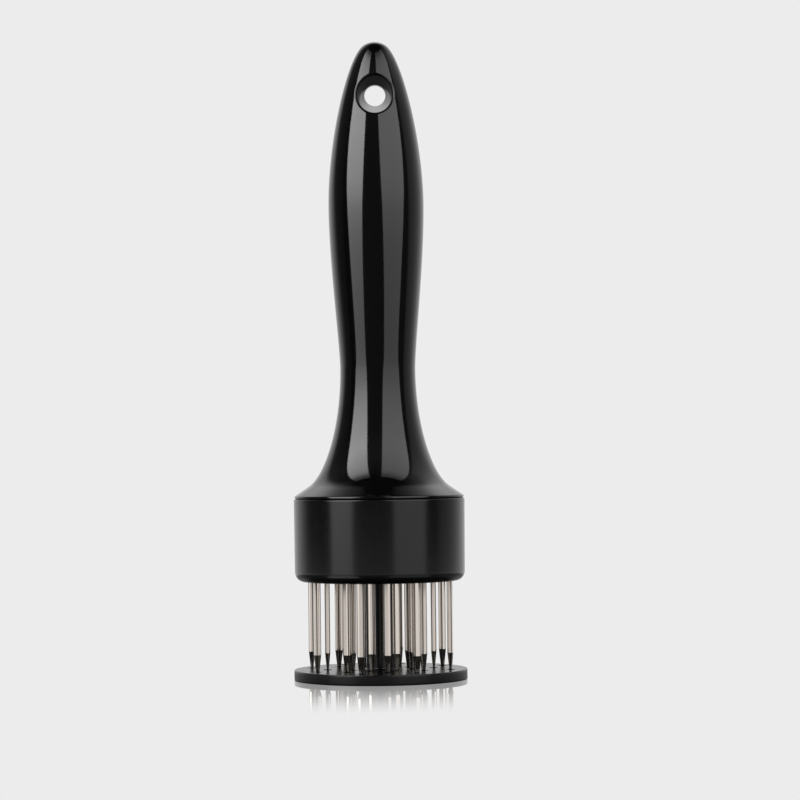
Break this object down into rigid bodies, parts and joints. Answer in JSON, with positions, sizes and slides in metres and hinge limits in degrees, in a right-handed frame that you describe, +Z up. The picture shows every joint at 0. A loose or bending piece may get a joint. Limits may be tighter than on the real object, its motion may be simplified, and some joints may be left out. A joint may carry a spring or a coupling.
{
  "type": "needle meat tenderizer",
  "caption": "Hand-held needle meat tenderizer: black bottle-shaped handle with a hanging hole, a round head of flat steel blades and a sprung guard plate that slides up as it is pressed.",
  "frame": {"origin": "middle of the guard plate's underside, where the tool stands", "axes": "+Z up the tool's axis towards the handle's nose, -Y the front, the hanging hole along Y"},
  "size_m": [0.0528, 0.0528, 0.195],
  "materials": {
    "gloss_black_plastic": "polished moulded ABS",
    "black_nylon": "as moulded",
    "blade_steel": "cold-rolled bright stainless steel with ground tips",
    "screw_steel": "zinc plated",
    "spring_steel": "drawn stainless spring wire"
  },
  "bodies": {
    "tool_body": {"handle": "gloss_black_plastic", "head_cup": "gloss_black_plastic", "clamp_plate": "black_nylon", "clamp_screws": "screw_steel", "return_spring": "spring_steel", "outer_blade_01": "blade_steel", "outer_blade_02": "blade_steel", "outer_blade_03": "blade_steel", "outer_blade_04": "blade_steel", "outer_blade_05": "blade_steel", "outer_blade_06": "blade_steel", "outer_blade_07": "blade_steel", "outer_blade_08": "blade_steel", "middle_blade_01": "blade_steel", "middle_blade_02": "blade_steel", "middle_blade_03": "blade_steel", "middle_blade_04": "blade_steel", "middle_blade_05": "blade_steel", "middle_blade_06": "blade_steel", "middle_blade_07": "blade_steel", "middle_blade_08": "blade_steel", "inner_blade_01": "blade_steel", "inner_blade_02": "blade_steel", "inner_blade_03": "blade_steel", "inner_blade_04": "blade_steel", "inner_blade_05": "blade_steel", "inner_blade_06": "blade_steel", "inner_blade_07": "blade_steel", "inner_blade_08": "blade_steel"},
    "guard": {"guard_plate": "gloss_black_plastic", "stop_washer": "screw_steel", "stop_screw": "screw_steel"}
  },
  "joints": [
    {"name": "guard_slide", "type": "slide", "parent": "tool_body", "child": "guard", "axis": [0, 0, 1], "range_m": [0, 0.0265], "stiffness_N_per_m": 600, "springref_m": -0.006, "deforming": ["return_spring"]}
  ]
}
